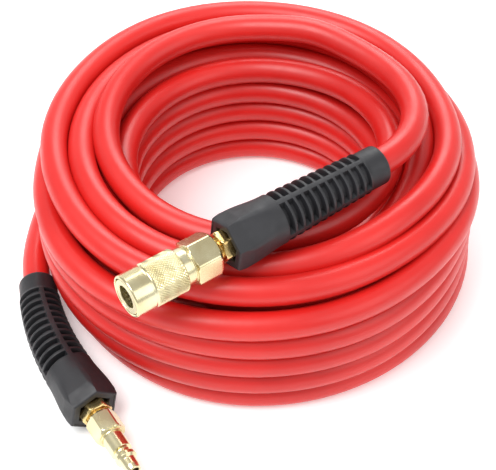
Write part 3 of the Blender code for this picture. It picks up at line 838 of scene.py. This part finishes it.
def make_fitting(end, place, nut_x, look):
    """A hose fitting: a hexagonal nut with a threaded nose in front of it and a barb behind."""
    flat, corner, crest, bore, barb = 7.8 * MM, 8.8 * MM, 6.7 * MM, 3.0 * MM, 4.9 * MM
    pitch, depth, length, front = 1.41 * MM, 0.75 * MM, 13.6 * MM, -5.0 * MM
    outline = [
        (-length, bore + 0.4 * MM), (-length, crest - 1.2 * MM), (-length + 0.8 * MM, crest - 0.7 * MM),
    ]
    rows = 72
    first, last = -length + 1.2 * MM, front - 1.0 * MM
    outline += [(first + (last - first) * i / rows, thread(crest, depth, pitch)) for i in range(rows + 1)]
    outline += [
        (front - 0.8 * MM, crest - depth), (front - 0.1 * MM, crest - depth),
        (front, hexagon(flat - 0.15 * MM, flat - 0.3 * MM)),
        (front + 0.4 * MM, hexagon(flat + 0.35 * MM, flat)), (front + 1.0 * MM, hexagon(corner, flat)),
        (6.5 * MM, hexagon(corner, flat)), (7.5 * MM, hexagon(flat - 0.1 * MM, flat - 0.2 * MM)),
        (7.5 * MM, barb - 0.4 * MM), (26.0 * MM, barb - 0.7 * MM), (26.0 * MM, bore), (0.0, bore),
    ]
    placed = [(nut_x + x, radius) for x, radius in outline]
    made = turned(f"fitting_{end}_end", placed, place, look, sharp=36)
    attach(made, FIXED)
    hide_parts(f"hose_fitting_{end}_end")
    return made


def make_balls(look):
    """The six locking balls, each in its own place."""
    for i in range(1, BALL_COUNT + 1):
        mesh = bmesh.new()
        bmesh.ops.create_icosphere(mesh, subdivisions=4, radius=BALL_R)
        bmesh.ops.translate(mesh, verts=mesh.verts, vec=ball_centre(i))
        made = finish_mesh(f"ball_{i}", mesh, look)
        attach(made, f"ball_{i}")
        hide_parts(f"locking_ball_{i}")


def coiled_wire(name, node, start, end, radius, wire, count, look):
    """A spring along the coupler's axis whose first and last turns lie flat."""
    steps = 24
    points = []
    for i in range(int(count * steps) + 1):
        done = i / steps
        rise = min(max((done - 0.75) / (count - 1.5), 0.0), 1.0)
        angle = math.tau * done
        x = start + (end - start) * rise
        points.append(coupler_place((x, radius * math.cos(angle), radius * math.sin(angle))))
    rings = []
    for i, point in enumerate(points):
        ahead = (points[min(i + 1, len(points) - 1)] - points[max(i - 1, 0)]).normalized()
        out = Vector((0.0, point.y - MOUTH.y, point.z - MOUTH.z)).normalized()
        rings.append(ring_about(point, out, ahead.cross(out).normalized(), wire / 2, 12))
    made = tube(name, rings, look)
    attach(made, FIXED)
    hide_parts(node)
    return made


def make_springs(look):
    """The sleeve's spring and the valve's, each set between its front seat and its back end."""
    sleeve_wire, valve_wire, gap = 1.1 * MM, 0.8 * MM, 0.3 * MM
    land_end, body_start, poppet_back, guide = 10.3 * MM, 24.0 * MM, 27.6 * MM, 37.0 * MM
    sleeve = coiled_wire(
        "sleeve_return_spring", "sleeve_spring", land_end + gap + sleeve_wire / 2,
        body_start - gap - sleeve_wire / 2, 9.35 * MM, sleeve_wire, 6.0, look,
    )
    valve = coiled_wire(
        "valve_return_spring", "valve_spring", poppet_back + gap + valve_wire / 2,
        guide - gap - valve_wire / 2, 3.4 * MM, valve_wire, 5.0, look,
    )
    for spring, joint, back, front, travel in (
        (sleeve, "sleeve_slide", body_start - gap, land_end + gap, 5.0 * MM),
        (valve, "valve_slide", guide - gap, poppet_back + gap, 4.0 * MM),
    ):
        anchor = coupler_place((back, 0.0, 0.0))
        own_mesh(spring)


def dress_cad_nodes(looks):
    """Materials of the inner pieces, which show as their CAD solids."""
    kinds = {
        "brass": ("valve_poppet", "valve_guide"),
        "steel": (
            "crimp_ferrule_coupler_end", "crimp_ferrule_plug_end", "sleeve_retaining_ring",
        ),
        "seal": ("plug_seal_ring", "valve_seal_ring"),
    }
    for kind, nodes in kinds.items():
        for node in nodes:
            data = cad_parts[node].data
            data.materials.clear()
            data.materials.append(looks[kind])


# ---- floor, light and camera -----------------------------------------------------------------------------


def make_floor(look):
    """A pale floor that curves up into a low wall behind the coil."""
    mesh = bmesh.new()
    reach, back, rise, rounded = 2.5, 1.6, 1.2, 0.5
    outline = [(-reach, 0.0), (back, 0.0)]
    for i in range(1, 13):
        angle = math.pi / 2 * i / 12
        outline.append((back + rounded * math.sin(angle), rounded - rounded * math.cos(angle)))
    outline.append((back + rounded, rise))
    left, right = ([mesh.verts.new((x, y, z)) for y, z in outline] for x in (-reach, reach))
    for near, far in zip(range(len(outline)), range(1, len(outline))):
        mesh.faces.new((left[near], right[near], right[far], left[far]))
    floor = finish_mesh("floor", mesh, look)
    floor.rotation_euler = (0.0, 0.0, COIL_TURN)


def area_light(name, place, aim, size, power):
    """A round soft light, placed and aimed from the coil's centre."""
    data = bpy.data.lights.new(name, "AREA")
    data.shape = "DISK"
    data.size = size
    data.energy = power
    made = bpy.data.objects.new(name, data)
    made.location = COIL_CENTRE + Vector(place)
    made.rotation_euler = (Vector(aim) - Vector(place)).to_track_quat("-Z", "Y").to_euler()
    bpy.context.scene.collection.objects.link(made)


def seen(right, back, up):
    """A point given as the camera sees it: to its right, away from it and up."""
    cos, sin = math.cos(COIL_TURN), math.sin(COIL_TURN)
    return (right * cos - back * sin, right * sin + back * cos, up)


def make_lights():
    """A bright studio: white surroundings, a key light, a fill and a rim light."""
    world = bpy.data.worlds.new("studio")
    world.use_nodes = True
    world.node_tree.nodes["Background"].inputs["Color"].default_value = (1.0, 1.0, 1.0, 1)
    world.node_tree.nodes["Background"].inputs["Strength"].default_value = 0.6
    bpy.context.scene.world = world
    bpy.context.scene.view_settings.view_transform = "Standard"
    area_light("key", seen(-0.5, -0.35, 1.25), (0, 0, 0.04), 0.9, 15.0)
    area_light("fill", seen(0.9, -0.6, 0.8), (0, 0, 0.04), 1.0, 3.5)
    area_light("rim", seen(0.1, 1.0, 0.9), (0, 0, 0.06), 0.8, 7.0)


def make_camera():
    """A long lens that looks down on the coil, over the coupler's mouth."""
    data = bpy.data.cameras.new("camera")
    data.sensor_fit = "HORIZONTAL"
    data.sensor_width = 36.0
    data.lens = 97.98
    camera = bpy.data.objects.new("camera", data)
    place = Vector((-21.24, -29.08, 39.25)) * HOSE_D
    aim = Vector((-1.453, -1.542, 2.5)) * HOSE_D
    camera.location = COIL_CENTRE + place
    camera.rotation_euler = (aim - place).to_track_quat("-Z", "Y").to_euler()
    bpy.context.scene.collection.objects.link(camera)
    bpy.context.scene.camera = camera


def main():
    looks = {
        "hose": hose_material(),
        "restrictor": moulded_material(),
        "brass": metal_material(
            "bright_brass", (0.68, 0.58, 0.33), (0.77, 0.69, 0.43), (0.87, 0.81, 0.56), (0.20, 0.27)
        ),
        # The fittings' brass is darker and more orange than the other brass: its own brass tone with a
        # painted reflection of the red hose on top.
        "fitting": metal_material(
            "fitting_brass_and_painted_reflection", (0.62, 0.43, 0.17), (0.74, 0.57, 0.26), (0.84, 0.71, 0.40), (0.18, 0.27)
        ),
        "steel": metal_material(
            "plain_steel", (0.42, 0.42, 0.44), (0.55, 0.55, 0.57), (0.66, 0.66, 0.68), (0.2, 0.35)
        ),
        "seal": seal_material(),
    }
    make_camera()
    hose, path = make_hose(looks["hose"])
    far_end = [
        make_restrictor("plug", plug_place, PLUG_NUT, PLUG_TURN, PLUG_BOW, looks["restrictor"]),
        make_fitting("plug", plug_place, PLUG_NUT, looks["fitting"]),
        make_plug(looks["brass"]),
        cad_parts["crimp_ferrule_plug_end"],
    ]
    tuple(path[0])
    [tuple(p) for p in path]
    make_restrictor("coupler", coupler_place, COUPLER_NUT, COUPLER_TURN, COUPLER_BOW, looks["restrictor"])
    make_fitting("coupler", coupler_place, COUPLER_NUT, looks["fitting"])
    make_sleeve(looks["brass"])
    make_socket(looks["brass"])
    make_body(looks["brass"])
    make_balls(looks["steel"])
    make_springs(looks["steel"])
    dress_cad_nodes(looks)
    make_floor(floor_material())
    make_lights()


main()
